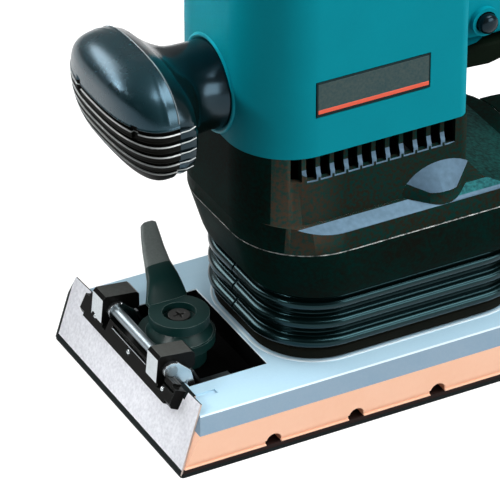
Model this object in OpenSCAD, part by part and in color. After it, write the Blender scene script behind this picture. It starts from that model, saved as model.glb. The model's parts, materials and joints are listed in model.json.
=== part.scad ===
// Half-sheet orbital finishing sander.
// The front of the tool points along -X, +Z is up, and the origin is the centre of the sole's underside.
// An eccentric pin on the motor shaft swings the base plate in a small circle under the still housing.

/* [Pad and paper] */
// Length of the sanding pad
pad_l = 229; // [226:0.5:232]
// Width of the sanding pad
pad_w = 115; // [112:0.5:116]
// Height of the base plate's top face above the work
plate_top = 23.3; // [23:0.1:23.6]
// Height of the base plate's underside
plate_low = 17.5; // [17:0.1:18]
// Thickness of the abrasive sheet under the pad
sheet_t = 1.6; // [1:0.1:1.8]
// Number of dust notches along each side of the pad
notch_count = 5; // [3:1:5]

/* [Motor unit] */
// Length of the motor housing, front to rear
motor_l = 95; // [94:0.5:96]
// Half-width of the motor housing
motor_hw = 42; // [41.5:0.5:42.5]
// Height of the seam between motor housing and skirt
skirt_top = 122; // [121.5:0.1:122.5]
// Height of the seam between motor housing and top cover
cover_low = 202; // [201:0.5:203]
// Height of the top of the tool
tool_top = 218; // [217:0.5:219]
// Vent slots on each side of the skirt
vent_count = 12; // [8:1:12]

/* [Drive] */
// Distance from the motor axis to the eccentric pin
ecc = 2.5; // [1.5:0.1:2.5]
// Blades on the cooling fan
fan_blades = 14; // [10:1:18]
// Commutator bars
bars = 16; // [12:1:20]

/* [Clamps] */
// Length of the clamp jaw
jaw_l = 80.5; // [76:0.5:84]
// Radius of the clamp rod
rod_r = 2.2; // [2:0.1:2.2]
// Radius of the lever's top disc
hub_r = 12.5; // [12:0.1:12.8]

/* [Front grip] */
// Half-length of the palm grip, side to side
grip_hw = 38.2; // [37:0.1:39]
// Half-height of the palm grip
grip_hh = 25.5; // [24:0.1:26]
// Depth of the palm grip in front of its seam
grip_depth = 19.8; // [18:0.1:21]
// Height of the grip's axis
grip_z = 141; // [140:0.1:142]
// Spacing of the finger grooves
groove_pitch = 4.7; // [4.6:0.05:4.8]
// Height of the highest finger groove
groove_top = 146.9; // [145:0.1:147]

/* [Hidden] */
$fn = 48;
eps = 0.05;

motor_x = -24.5;
motor_front = motor_x - motor_l / 2;
motor_rear = motor_x + motor_l / 2;
motor_rf = 27;
motor_rr = 5;
wall = 3;

// End slope shared by the pad, the plate and the sheet's flaps
slope_in = 10.5;
slope_h = plate_top - sheet_t;
slope_len = sqrt(slope_in * slope_in + slope_h * slope_h);
slope_tilt = atan2(slope_in, slope_h);
end_x = pad_l / 2;
side_in = 5.3;

facing_top = 3.3;
notch_x0 = -73.4;
notch_pitch = 37.9;
dust_x = [-28, -8, 12, 32];
dust_y = 33;

// Recess in the plate that takes each clamp
pocket_rear = 62.8;
pocket_front = 98;
pocket_hw = 31;
pocket_z = 13;
tub_z = 11;

// Clamp geometry, given for the front clamp
pivot_x = -86.5;
rod_x = -104.5;
rod_z = 31.2;
jaw_y = 1.75;
running = 0.05;
arm_w = 9;
arm_near = -26.3;
arm_far = 23;
ear_w = 2.4;

// Skirt and lower casing
skirt_hw = 49;
skirt_front = -70.5;
skirt_rear = 72;
skirt_rf = 34;
skirt_rr = 30;
ledge_z = 88;
ledge_in_z = 91.5;
casing_top = 79.5;
boot_top = 55.5;
boot_low = plate_top + 0.3;
deck_x0 = 23;
deck_z0 = 94;
deck_x1 = 63.4;
deck_z1 = 79.3;
duct_rear = 126;
duct_low = 57;
dust_z = 66;
dust_r = 6.5;
nozzle_z = 69;
nozzle_r = 15;
nozzle_bore = 13.5;
nozzle_rear = 161.5;

// Upright stack of the motor
shaft_top = 198;
core_low = 122;
core_high = 166;
stator_r = 37.5;
armature_r = 24.5;
air_gap = 0.7;
fan_z = 98;
fan_r = 33.5;
boss_r = 18;
boss_top = 40;
post_x = 45;
post_y = 22;
post_r = 8;
post_roof = 72;

// Handle
handle_hw = 18;
button_x = 42.6;
button_z = 147.8;
button_r = 4.3;
trigger_x0 = 50;
trigger_x1 = 87;
trigger_pivot = [53.5, 143];
bush_z = 104;
bush_r = 7;

// Grip seam: the plane where its two shells meet, and their half-height there
seam_x = -103.5;
seam_hh = 22.8;

// ---- shared outlines ----

// Plan outline with its own corner radius at the front and at the rear
module plan(front, rear, hw, rf, rr) {
  translate([front + rf, -hw]) square([rear - rr - front - rf, 2 * hw]);
  translate([front, -hw + rf]) square([rf + eps, 2 * (hw - rf)]);
  translate([rear - rr - eps, -hw + rr]) square([rr + eps, 2 * (hw - rr)]);
  for (s = [-1, 1]) {
    translate([front + rf, s * (hw - rf)]) circle(rf);
    translate([rear - rr, s * (hw - rr)]) circle(rr);
  }
}

module slab(front, rear, hw, rf, rr, low, high) {
  translate([0, 0, low]) linear_extrude(high - low) plan(front, rear, hw, rf, rr);
}

// One ring of a lofted form: the plan outline as points at height z
function ring(front, rear, hw, rf, rr, z, n = 12) = [
  for (c = [[rear - rr, hw - rr, rr, 0], [front + rf, hw - rf, rf, 90],
            [front + rf, rf - hw, rf, 180], [rear - rr, rr - hw, rr, 270]])
    for (i = [0 : n - 1]) let (a = c[3] + 90 * i / (n - 1))
      [c[0] + c[2] * cos(a), c[1] + c[2] * sin(a), z]
];

// Superellipse ring across the X axis
function oval(x, a, c, z, e, n = 40) = [
  for (i = [0 : n - 1]) let (t = 360 * i / n)
    [x, a * pow(abs(cos(t)), 2 / e) * sign(cos(t)), z + c * pow(abs(sin(t)), 2 / e) * sign(sin(t))]
];

// Closed solid through a list of rings
module loft(rings) {
  n = len(rings[0]);
  m = len(rings);
  polyhedron(
    points = [for (r = rings) each r],
    faces = concat(
      [[for (i = [0 : n - 1]) i]],
      [[for (i = [n - 1 : -1 : 0]) (m - 1) * n + i]],
      [for (k = [0 : m - 2]) for (i = [0 : n - 1]) let (j = (i + 1) % n)
        each [[k * n + j, k * n + i, (k + 1) * n + i], [(k + 1) * n + j, k * n + j, (k + 1) * n + i]]]
    ),
    convexity = 6
  );
}

// Side outline in X and Z, drawn through to a half-width in Y
module side_cut(points, hw) {
  translate([0, hw, 0]) rotate([90, 0, 0]) linear_extrude(2 * hw) polygon(points);
}

// Everything above the sloping rear deck
module above_deck(lift = 0) {
  side_cut([[deck_x0 - 20, deck_z0 + 20 * (deck_z0 - deck_z1) / (deck_x1 - deck_x0) + lift],
            [deck_x1, deck_z1 + lift], [200, deck_z1 + lift], [200, 160], [deck_x0 - 20, 160]], 70);
}

// ---- base ----

// Front and rear end slopes and the outer outline, between two heights
module sloped_block(low, high, hw) {
  run = slope_in / slope_h;
  function x_at(z) = end_x - (z - sheet_t) * run;
  side_cut([[-x_at(low), low], [x_at(low), low], [x_at(high), high], [-x_at(high), high]], hw);
}

module dust_holes(low, high, r) {
  for (x = dust_x, s = [-1, 1]) translate([x, s * dust_y, low]) cylinder(h = high - low, r = r);
}

module base_plate() color("#99c0d6") difference() {
  union() {
    intersection() {
      sloped_block(plate_low, plate_top, pad_w / 2);
      rotate([90, 0, 90]) translate([0, 0, -end_x]) linear_extrude(pad_l)
        polygon([[-pad_w / 2 + 0.2, plate_low], [pad_w / 2 - 0.2, plate_low],
                 [pad_w / 2 - side_in, plate_top], [-pad_w / 2 + side_in, plate_top]]);
    }
    for (s = [-1, 1])
      translate([s > 0 ? pocket_rear - 2 : -pocket_front - 2, -pocket_hw - 2, tub_z])
        cube([pocket_front - pocket_rear + 4, 2 * pocket_hw + 4, plate_low - tub_z + 1]);
    translate([motor_x, ecc, plate_top - 1]) cylinder(h = boss_top - plate_top + 1, r = boss_r);
    translate([motor_x, ecc, plate_top - 1]) for (a = [0 : 90 : 270])
      rotate([0, 0, a]) translate([0, -2, 0]) cube([21, 4, 6]);
  }
  for (s = [-1, 1])
    translate([s > 0 ? pocket_rear : -pocket_front, -pocket_hw, pocket_z])
      cube([pocket_front - pocket_rear, 2 * pocket_hw, 20]);
  translate([motor_x, ecc, 27]) cylinder(h = 20, r = 14);
  translate([motor_x, ecc, 22]) cylinder(h = 10, r = 9);
  dust_holes(tub_z, plate_top + 1, 4);
  for (s = [-1, 1], y = [-39, 39]) translate([s * 95, y, plate_top - 0.8]) rotate([0, 0, 90]) {
    translate([-1.5, -5, 0]) cube([3, 10, 2]);
  }
}

module crank_bearing() color("silver") translate([motor_x, ecc, 27]) difference() {
  cylinder(h = 10, r = 14);
  translate([0, 0, -1]) cylinder(h = 12, r = 6);
  for (z = [-0.01, 9.21]) translate([0, 0, z]) difference() {
    cylinder(h = 0.8, r = 11.6);
    translate([0, 0, -1]) cylinder(h = 3, r = 8.4);
  }
}

module pad() color("#fccbaf") difference() {
  sloped_block(facing_top, plate_low, pad_w / 2 - 0.2);
  for (s = [-1, 1]) {
    translate([s > 0 ? pocket_rear - 2 : -pocket_front - 2, -pocket_hw - 2, tub_z])
      cube([pocket_front - pocket_rear + 4, 2 * pocket_hw + 4, 20]);
    translate([-end_x - 1, s * (pad_w / 2 - 0.2) - 0.8, facing_top + 0.6])
      cube([pad_l + 2, 1.6, 1.8]);
    for (i = [0 : notch_count - 1])
      translate([notch_x0 + i * notch_pitch, s * (pad_w / 2 - 4), facing_top + 1.2])
        rotate([90, 0, 0]) cylinder(h = 16, r = 3.6, center = true);
  }
  dust_holes(0, 30, 4);
}

module pad_facing() color("#1c1c1e") difference() {
  sloped_block(sheet_t, facing_top, pad_w / 2 - 0.1);
  dust_holes(0, 30, 4.5);
}

// Local frame of an end slope: across the tool, then up the slope, then out from it
module on_slope() {
  translate([-end_x, 0, sheet_t]) rotate([0, slope_tilt, 0]) rotate([90, 0, 90]) mirror([0, 0, 1]) children();
}

// Sheet under the sole, with its two ends folded up the slopes and cut a little askew
module abrasive_sheet() color("#26262a") difference() {
  union() {
    slab(-end_x - 0.9, end_x + 0.9, pad_w / 2, 1.5, 1.5, 0, sheet_t);
    for (a = [0, 180]) rotate([0, 0, a]) on_slope() translate([0, 0, 0.05]) linear_extrude(0.8)
      polygon([[-pad_w / 2 + 0.5, -0.8], [pad_w / 2 - 1, -0.8], [pad_w / 2 + 3, 18], [pad_w / 2 + 2.2, 26],
               [44, 26.6], [43.4, slope_len + 0.3], [-39.6, slope_len + 0.3], [-40, 28], [-50.2, 28.4]]);
    for (s = [-1, 1]) translate([s > 0 ? 99.4 : -104.4, s > 0 ? -43.4 : -39.6, plate_top + 0.05]) cube([5, 83, 0.8]);
  }
  dust_holes(-1, sheet_t + 1, 5);
}

// ---- clamps, modelled at the front ----

module at_rear() { rotate([0, 0, 180]) children(); }

module clamp_bracket() color("#c9cdd0") difference() {
  union() {
    translate([-97.9, arm_near - ear_w - 0.3, pocket_z]) cube([27, arm_far - arm_near, 1.6]);
    for (y = [arm_near, arm_far]) translate([0, y - 0.3, 0]) rotate([90, 0, 0]) linear_extrude(ear_w) {
      polygon([[-97.9, pocket_z], [-92, pocket_z], [-96, 29.2], [-102, 34.8], [-106.5, 28.7], [-104, 24.4],
               [-97.9, 24.4]]);
      translate([rod_x, rod_z]) circle(3.7);
    }
  }
  translate([rod_x, 0, rod_z]) rotate([90, 0, 0]) cylinder(h = 100, r = rod_r, center = true);
  translate([pivot_x, 0, pocket_z - 1]) cylinder(h = 4, r = 5);
}

module clamp_rod() color("#dfe3e6") translate([rod_x, arm_far + arm_w, rod_z]) rotate([90, 0, 0])
  cylinder(h = arm_far - arm_near + arm_w + ear_w + 0.8, r = rod_r);

module clamp_post() color("#8d9398") difference() {
  translate([pivot_x, 0, pocket_z]) {
    cylinder(h = 2.2, r = 4.9);
    cylinder(h = 21.4, r = 2.95);
    translate([0, 0, 21.2]) cylinder(h = 2, r = 4.6);
  }
  translate([pivot_x, 0, pocket_z + 21.8]) for (a = [0, 90]) rotate([0, 0, a])
    translate([-2.6, -0.45, 0]) cube([5.2, 0.9, 3]);
}

module clamp_spring() color("#b8bdc2") for (y = [arm_near, arm_far]) translate([0, y + 8, 0])
  rotate([90, 0, 0]) linear_extrude(7)
    polygon([[-88, 14.7], [-74, 14.7], [-74, 15.5], [-87.5, 15.5], [-93, 26], [-97.5, 26], [-97.5, 25.2],
             [-93.5, 25.2]]);

module clamp_lever() color("#1d3234") difference() {
  union() {
    translate([pivot_x, 0, 15.4]) cylinder(h = 10, r = 11.2);
    translate([pivot_x, 0, 24.5]) hull() {
      cylinder(h = 4, r = 14.8);
      translate([-1.5, 1.5, 0]) cylinder(h = 4, r = 15);
    }
    translate([pivot_x, 0, 28]) cylinder(h = 6, r1 = 14.2, r2 = 9.5);
    translate([pivot_x, 0, 33.2]) cylinder(h = 4.3, r = hub_r);
    translate([pivot_x, 0, 0]) loft([for (k = lever_path()) lever_ring(k)]);
  }
  translate([pivot_x, 0, 10]) cylinder(h = 40, r = 3);
  translate([pivot_x, 0, 34]) cylinder(h = 10, r = 7);
}

// Lever arm: centre, half-width, half-thickness and rise of the surface at each station
function lever_path() = [
  [-0.3, 9, 35.6, 7.8, 1.3, 15], [0, 11.5, 37.2, 9.4, 1.9, 35], [0.8, 14.5, 40.2, 8.3, 2.0, 45],
  [1.6, 18, 43.0, 7.1, 2.0, 25], [3.0, 25, 45.0, 5.8, 1.9, 14], [5.2, 33, 47.1, 5.0, 1.8, 15],
  [7.6, 40.5, 49.3, 4.3, 1.7, 17], [9.3, 45.5, 50.9, 3.6, 1.5, 17], [9.7, 46.6, 51.3, 2.3, 0.9, 17]
];

function lever_ring(k, n = 16) = [
  for (i = [0 : n - 1]) let (
      t = 360 * i / n,
      u = -k[3] * pow(abs(cos(t)), 0.6) * sign(cos(t)),
      v = k[4] * pow(abs(sin(t)), 0.6) * sign(sin(t)))
    [k[0] + u, k[1] - v * sin(k[5]), k[2] + v * cos(k[5])]
];

module clamp_jaw() color("#15181a") difference() {
  union() {
    on_slope() translate([jaw_y - jaw_l / 2, slope_len - 5, 0.9]) cube([jaw_l, 8.4, 5.2]);
    on_slope() translate([jaw_y + jaw_l / 2 - 9, slope_len + 3, 3]) cube([6, 2.4, 3.1]);
    on_slope() translate([jaw_y - jaw_l / 2 + 3, slope_len + 3, 2]) cube([8, 1.8, 4.1]);
    for (y = [arm_near, arm_far]) translate([0, y + arm_w, 0]) rotate([90, 0, 0]) linear_extrude(arm_w)
      polygon([[-110.6, 25.8], [-109.6, 36.4], [-108.2, 37.8], [-94.2, 36.2], [-93, 35], [-93, 29.4], [-94, 28.4],
               [-100, 28.4], [-103, 26.5], [-105.4, 24.3]]);
  }
  translate([rod_x, 0, rod_z]) rotate([90, 0, 0]) cylinder(h = 120, r = rod_r + running, center = true);
  for (y = [arm_near, arm_far]) translate([-114, y - 3, 24]) cube([22, 3, 16]);
  for (y = [-30, 0, 30]) on_slope() translate([y, slope_len - 0.8, 5.2]) cylinder(h = 3, r = 1.7);
  on_slope() translate([-14, slope_len + 1.2, 4.2]) cube([30, 1.3, 3]);
  on_slope() translate([-38, slope_len + 1.2, 4.2]) cube([10, 1.3, 3]);
  for (s = [-1, 1]) on_slope() translate([jaw_y + s * jaw_l / 2, slope_len - 5, 6.1]) rotate([45, 0, 0])
    cube([8, 2.4, 2.4], center = true);
}

// ---- boot and posts ----

function fold(z, d) = ring(-59.5 - d, 59.5 + d, 41 + d, 27 + d, 27 + d, z, 11);

module boot() color("#0b2422") difference() {
  loft(concat(
    [fold(boot_low, -0.6), fold(boot_low + 0.7, 0.2), fold(27.6, 0.2), fold(28.6, -1.2)],
    [for (k = [0 : 2]) let (z = 32.3 + 9 * k)
      each [fold(z - 2.7, 0.6), fold(z - 1.5, 2.1), fold(z, 2.7), fold(z + 1.2, 2.1), fold(z + 2.5, 0.6),
            fold(z + 3.1, 0.3), fold(z + 3.5, -1.1), fold(z + 4.6, -1.3)]],
    [fold(boot_top, 0.6)]));
  slab(-56, 56, 37.5, 24, 24, boot_low - 1, boot_top + 1);
}

module post(sx, sy, top) color("#202224") translate([sx * post_x, sy * post_y, 0]) rotate_extrude()
  polygon([[0, boot_low], [post_r, boot_low], [post_r, 30], [post_r - 2, 34], [post_r - 2, top - 11],
           [post_r, top - 7], [post_r, top], [0, top]]);

// ---- lower casing ----

// The front leans back all the way down, and the other sides only turn in at the bottom
function band(z, front, d) = ring(skirt_front + front, skirt_rear - d, skirt_hw - d, skirt_rf - d, skirt_rr - d, z, 12);

module casing_base() color("#0d1a1a") difference() {
  loft([band(boot_top, 8.4, 4.2), band(56.8, 7.4, 2.9), band(59.4, 6.3, 1.5), band(63.5, 5, 0.5), band(68, 3.6, 0),
        band(casing_top, 0, 0)]);
  slab(-58.5, 58, 40.5, 25, 14, boot_top - 1, post_roof);
  slab(-58.5, 50, 40.5, 25, 14, boot_top - 1, casing_top + 1);
  translate([50, 0, dust_z]) rotate([0, 90, 0]) cylinder(h = 40, r = dust_r);
  above_deck();
}

module dust_duct() color("#12211f") difference() {
  intersection() {
    side_cut([[60, duct_low], [60, deck_z1], [duct_rear, deck_z1], [duct_rear, duct_low + 1],
              [duct_rear - 1, duct_low]], 60);
    translate([0, 0, duct_low - 1]) linear_extrude(40)
      polygon([[50, -29.5], [76, -28.5], [duct_rear - 8, -23], [duct_rear, -17], [duct_rear, 17],
               [duct_rear - 8, 23], [76, 28.5], [50, 29.5]]);
  }
  slab(skirt_front, skirt_rear + 0.05, skirt_hw, skirt_rf, skirt_rr, 40, 100);
  translate([70, 0, dust_z]) rotate([0, 90, 0]) cylinder(h = 60, r = dust_r);
}

module dust_nozzle() color("#101c1b") translate([duct_rear, 0, nozzle_z]) rotate([0, 90, 0]) difference() {
  union() {
    cylinder(h = nozzle_rear - duct_rear, r = nozzle_r);
    cylinder(h = 3, r = nozzle_r + 1.5);
    translate([0, 0, nozzle_rear - duct_rear - 6]) cylinder(h = 3, r = nozzle_r + 0.8);
  }
  translate([0, 0, 6]) cylinder(h = 60, r = nozzle_bore);
  translate([nozzle_z - dust_z, 0, -1]) cylinder(h = 10, r = dust_r);
}

// ---- skirt: vents, side ledges, screw bulges and rear deck ----

vent_x0 = -54.7;
vent_pitch = 6.26;
niche_x = 10;
niche_z = 91;

// Leaf-shaped bulge over the screw: from an arch on the side wall out and down to the seat's rim
module bulge(side) intersection() {
  hull() {
    translate([0, side * (motor_hw - 0.5), 0]) rotate([90, 0, 0]) linear_extrude(1, center = true) intersection() {
      polygon([for (i = [0 : 18]) let (t = 10 * i) [niche_x + 18 * cos(t), niche_z + 13.3 * sin(t)]]);
      translate([niche_x - 30, niche_z - 1]) square([motor_rear - niche_x + 29.5, 40]);
    }
    skirt_boss(side);
  }
  translate([-30, side > 0 ? motor_hw - wall : -80, 80]) cube([80, 80 - motor_hw + wall, 40]);
}

module skirt_outer() {
  slab(motor_front, motor_rear + 0.8, motor_hw, motor_rf, motor_rr, ledge_z, skirt_top);
  intersection() {
    slab(skirt_front, skirt_rear, skirt_hw, skirt_rf, skirt_rr, casing_top, ledge_in_z);
    rotate([90, 0, 90]) translate([0, 0, skirt_front - 1]) linear_extrude(skirt_rear - skirt_front + 2)
      polygon([[-skirt_hw - 1, casing_top - 1], [skirt_hw + 1, casing_top - 1], [skirt_hw + 1, ledge_z - 0.5],
               [skirt_hw, ledge_z], [motor_hw + 1.2, ledge_in_z - 0.4], [motor_hw, ledge_in_z + 1],
               [-motor_hw, ledge_in_z + 1], [-motor_hw - 1.2, ledge_in_z - 0.4], [-skirt_hw, ledge_z],
               [-skirt_hw - 1, ledge_z - 0.5]]);
  }
}

module skirt() color("#192d28") difference() {
  union() {
    for (s = [-1, 1]) {
      skirt_boss(s);
      bulge(s);
    }
    difference() {
      skirt_outer();
      slab(motor_front + wall, motor_rear - wall + 0.8, motor_hw - wall, motor_rf - wall, 2, casing_top - 1,
           skirt_top + 1);
      slab(-64, 42, 44.5, 28, 20, casing_top - 1, 83);
      difference() {
        above_deck();
        translate([-100, -80, 80]) cube([100 + motor_rear + 0.8, 160, 100]);
      }
    }
  }
  for (s = [-1, 1]) {
    translate([niche_x - 1, s * 35.8, 80]) cylinder(h = 10.5, r = 2.6);
    for (i = [0 : vent_count - 1])
      translate([vent_x0 + i * vent_pitch, s * (motor_hw - 2), 116.7]) cube([4.3, 8, 10.8], center = true);
    rotate([90, 0, 90]) translate([0, 0, vent_x0 - 2.15]) linear_extrude((vent_count - 1) * vent_pitch + 4.3)
      polygon([[s * (motor_hw - 1.5), skirt_top + 1], [s * (motor_hw - 1.5), 116.4], [s * (motor_hw - 0.9), 114.2],
               [s * (motor_hw + 0.1), 112.2], [s * (motor_hw + 3), 112.2], [s * (motor_hw + 3), skirt_top + 1]]);
  }
}

// ---- motor housing and top cover ----

module motor_housing() color("#018392") difference() {
  union() {
    difference() {
      slab(motor_front, motor_rear, motor_hw, motor_rf, motor_rr, skirt_top, cover_low);
      slab(motor_front + wall, motor_rear - wall, motor_hw - wall, motor_rf - wall, 2, skirt_top - 1, cover_low + 1);
    }
    for (a = [0 : 90 : 270]) translate([motor_x, 0, core_low]) rotate([0, 0, a])
      translate([stator_r + 0.05, -4, 0]) cube([(a % 180 == 0 ? motor_l / 2 : motor_hw) - stator_r - 1, 8, 44]);
  }
  translate([motor_front - 5, 0, grip_z]) rotate([0, 90, 0]) cylinder(h = 12, r = 4.2);
  translate([motor_front + wall, 0, grip_z]) rotate([0, 90, 0]) cylinder(h = 10, r = 8.2);
  for (s = [-1, 1]) translate([motor_x + 3, s * motor_hw, 147.6]) cube([51.4, 1.2, 16], center = true);
  translate([motor_rear - 5, -10, 148]) cube([10, 20, 16]);
}

module badge(s) color("#42514f")
  translate([motor_x + 3, s * (motor_hw - 0.2), 147.6]) cube([50.8, 0.8, 15.4], center = true);

function cover_ring(z, d) = ring(motor_front + d, motor_rear - d, motor_hw - d, motor_rf - d,
                                 max(motor_rr - d, 2), z, 10);

module top_cover() color("#018392") difference() {
  loft([cover_ring(cover_low, 0), cover_ring(cover_low + 4, 0), cover_ring(cover_low + 8.5, 1.1),
        cover_ring(cover_low + 12, 3.6), cover_ring(cover_low + 14.6, 8), cover_ring(tool_top, 15)]);
  slab(motor_front + wall, motor_rear - wall, motor_hw - wall, motor_rf - wall, 2, cover_low - 1, cover_low + 6);
  slab(motor_front + 9, motor_rear - 9, motor_hw - 9, motor_rf - 9, 2, cover_low + 5, cover_low + 12);
  for (s = [-1, 1], i = [0 : 8])
    translate([motor_x - 26 + i * 6.5, s * motor_hw, cover_low + 6]) cube([3, 14, 6], center = true);
  cover_spots(cover_low + 13) cylinder(h = 5, r = 3.7);
}

// ---- front grip ----

// Rounded rise and fall: 1 at the middle, 0 at the ends, for u from -1 to 1
function full(u, e) = pow(max(1 - pow(abs(u), e), 0), 1 / e);

// The front shell is deepest high up, where the palm rests
deep_z = grip_z + 13.9;

function grip_deep(z) = grip_depth * (z > deep_z
  ? full((z - deep_z) / (grip_z + grip_hh - deep_z), 2.4)
  : full((deep_z - z) / (deep_z - grip_z + grip_hh), 2.17));

// Horizontal slice of the front shell, d mm inside its surface; above and below the seam it leans forward
function grip_slice(z, d, n = 24) = let (
    half = grip_hw * full((z - grip_z) / grip_hh, 2.68),
    lean = max(abs(z - grip_z) - seam_hh, 0) * 1.4) [
  for (i = [0 : n]) let (t = 180 * i / n, swell = 0.955 + 0.075 * sin(t))
    [seam_x - lean - max(grip_deep(z) - d - lean, 0.2) * pow(sin(t), 0.77),
     (half * swell - d) * pow(abs(cos(t)), 0.77) * sign(cos(t)), z]
];

groove_z = [for (i = [-4 : 0]) groove_top + i * groove_pitch];

module grip_front() color("#1f2b31") loft(concat(
  [for (z = [-0.985, -0.93, -0.84, -0.72]) grip_slice(grip_z + z * grip_hh, 0)],
  [for (g = groove_z) each [grip_slice(g - 0.9, 0), grip_slice(g - 0.5, 1.4), grip_slice(g + 0.5, 1.4),
                            grip_slice(g + 0.9, 0)]],
  [for (z = [0.34, 0.47, 0.62, 0.77, 0.88, 0.95, 0.985]) grip_slice(grip_z + z * grip_hh, 0)]));

// Sections of the rear shell: X, half-width, top and bottom from the axis, fullness
function grip_back() = [
  [seam_x + 0.02, 36.4, 22.8, -22.8, 2.7], [-99.5, 36.3, 21.8, -24.2, 2.7], [-96, 35.2, 19.6, -24, 2.6],
  [-93.2, 31.2, 18.4, -22.6, 2.5], [-91, 26.2, 18, -20.8, 2.3], [-88.3, 21.3, 17.9, -19.2, 2.1],
  [-85, 18.9, 18.2, -18.4, 2], [-80, 18.2, 18.2, -18.2, 2], [-76, 18.1, 18.1, -18.1, 2],
  [motor_front - 0.05, 18.7, 18.7, -18.7, 2]
];

module grip_rear() color("#10191b") difference() {
  loft([for (k = grip_back()) oval(k[0], k[1], (k[2] - k[3]) / 2, grip_z + (k[2] + k[3]) / 2, k[4])]);
  for (s = [-1, 1], g = groove_z) translate([-100, s * 36.9, g]) cube([9.3, 4, 1.3], center = true);
  translate([-96.5, 0, grip_z]) rotate([0, 90, 0]) cylinder(h = 40, r = 4);
}

module grip_bolt() color("silver") translate([-96.4, 0, grip_z]) rotate([0, 90, 0]) {
  cylinder(h = -63.6 - wall + 96.4 - 2.4, r = 4);
  translate([0, 0, -wall - 63.6 + 96.4 - 2.4]) cylinder(h = 3.6, r = 7.5, $fn = 6);
}

// ---- D-handle ----

// Stations along the handle: X, Z, heading in degrees, half-height in the plane, half-width
function handle_path() = [
  [motor_rear + 0.05, 156, 0, 21, handle_hw], [34, 156, 0, 20.3, handle_hw], [48, 155, -1.5, 20.3, 17.8],
  [64, 153.8, -3.5, 19.3, 17.2], [80, 152.6, -9, 17.8, 16.8], [93, 150.3, -20, 16, 16.5],
  [103.5, 143.8, -40, 15.4, 16.3], [110.5, 134, -62, 14.6, 16], [114, 121, -80, 13.8, 16],
  [114.3, 106, -92, 13.2, 16], [112.5, 92, -97, 13.4, 16], [110, deck_z1 - 3, -98, 14.6, 16]
];

function handle_ring(k, d, n = 28) = [
  for (i = [0 : n - 1]) let (
      t = 360 * i / n,
      v = (k[3] - d) * pow(abs(sin(t)), 0.62) * sign(sin(t)),
      w = (k[4] - d) * pow(abs(cos(t)), 0.62) * sign(cos(t)))
    [k[0] - v * sin(k[2]), w, k[1] + v * cos(k[2])]
];

module handle_body() difference() {
  union() {
    difference() {
      loft([for (k = handle_path()) handle_ring(k, 0)]);
      loft([for (k = [for (i = [1 : 10]) handle_path()[i]]) handle_ring(k, 3)]);
    }
    for (p = screw_spots) translate([p[0], 0, p[1]]) rotate([90, 0, 0]) cylinder(h = 32, r = 5, center = true);
  }
  translate([0, -50, -10 + deck_z1 - 30]) cube([200, 100, 40]);
  translate([trigger_x0, -7.4, 110]) cube([trigger_x1 - trigger_x0 + 1, 14.8, 32]);
  translate([118, 0, bush_z]) rotate([0, 90, 0]) cylinder(h = 20, r = bush_r);
  translate([trigger_pivot[0], 14.05, trigger_pivot[1]]) rotate([90, 0, 0]) cylinder(h = 28.1, r = 1.55);
}

module handle_left() color("#018392") difference() {
  union() {
    intersection() {
      handle_body();
      translate([-50, -50, 0]) cube([300, 50 - 0.02, 300]);
    }
    translate([button_x, -handle_hw + 1, button_z]) rotate([90, 0, 0]) cylinder(h = 3, r = 6.2);
  }
  translate([button_x, -8, button_z]) rotate([90, 0, 0]) cylinder(h = 20, r = button_r + 0.4);
}

module handle_right() color("#018392") difference() {
  intersection() {
    handle_body();
    translate([-50, 0.02, 0]) cube([300, 50, 300]);
  }
  for (p = screw_spots) translate([p[0], 0, p[1]]) rotate([-90, 0, 0]) {
    translate([0, 0, handle_hw - 5]) cylinder(h = 10, r = 3.6);
  }
}

screw_spots = [[34, 158], [93, 149], [113.5, 92]];

// Black under-grip along the inside of the handle
function liner_ring(k, t, n = 20) = [
  for (i = [0 : n - 1]) let (
      a = 360 * i / n,
      v = -k[3] + 1 - t / 2 + t / 2 * pow(abs(sin(a)), 0.35) * sign(sin(a)),
      w = (k[4] - 1.5) * pow(abs(cos(a)), 0.3) * sign(cos(a)))
    [k[0] - v * sin(k[2]), w, k[1] + v * cos(k[2])]
];

liner_t = [12.6, 11.6, 11.6, 8.5, 7.5, 6.5, 6, 6, 6, 6, 6];

module handle_liner() color("#15201c") difference() {
  loft([for (i = [0 : 10]) liner_ring(handle_path()[i], liner_t[i])]);
  loft([for (k = handle_path()) handle_ring(k, -0.02)]);
  translate([0, -50, deck_z1 - 30]) cube([200, 100, 30]);
  translate([trigger_x0, -7.4, 110]) cube([trigger_x1 - trigger_x0 + 1, 14.8, 32]);
}

module trigger() color("#0c0f10") translate([0, 7, 0]) rotate([90, 0, 0]) linear_extrude(14) difference() {
  union() {
    polygon(concat([[trigger_x0 + 0.8, 146], [trigger_x0 + 0.8, 127.5], [trigger_x0 + 3, 125.6]],
      [for (i = [0 : 6]) [trigger_x0 + 8 + 3.6 * i, 124.6 + 1.4 * cos(30 * i) - 0.27 * i]],
      [[trigger_x1 - 4, 121.6], [trigger_x1 - 1.4, 123], [trigger_x1 - 0.8, 139], [trigger_x0 + 12, 143],
       [trigger_x0 + 8, 146]]));
    translate(trigger_pivot) circle(3.4);
  }
  translate(trigger_pivot) circle(1.55);
}

module trigger_pin() color("silver") translate([trigger_pivot[0], 14, trigger_pivot[1]]) rotate([90, 0, 0])
  cylinder(h = 28, r = 1.5);

module lock_button() color("#101012") translate([button_x, 0, button_z]) rotate([90, 0, 0]) rotate_extrude()
  polygon(concat([[0, 12.5], [button_r, 12.5], [button_r, 22]],
    [for (i = [1 : 5]) [button_r * cos(18 * i), 22 + 2 * sin(18 * i)]]));

module switch_block() color("#2b2d30") {
  translate([58, -8, 148]) cube([26, 16, 16.5]);
  translate([64, -2.5, 146]) cube([5, 5, 3]);
}

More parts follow.
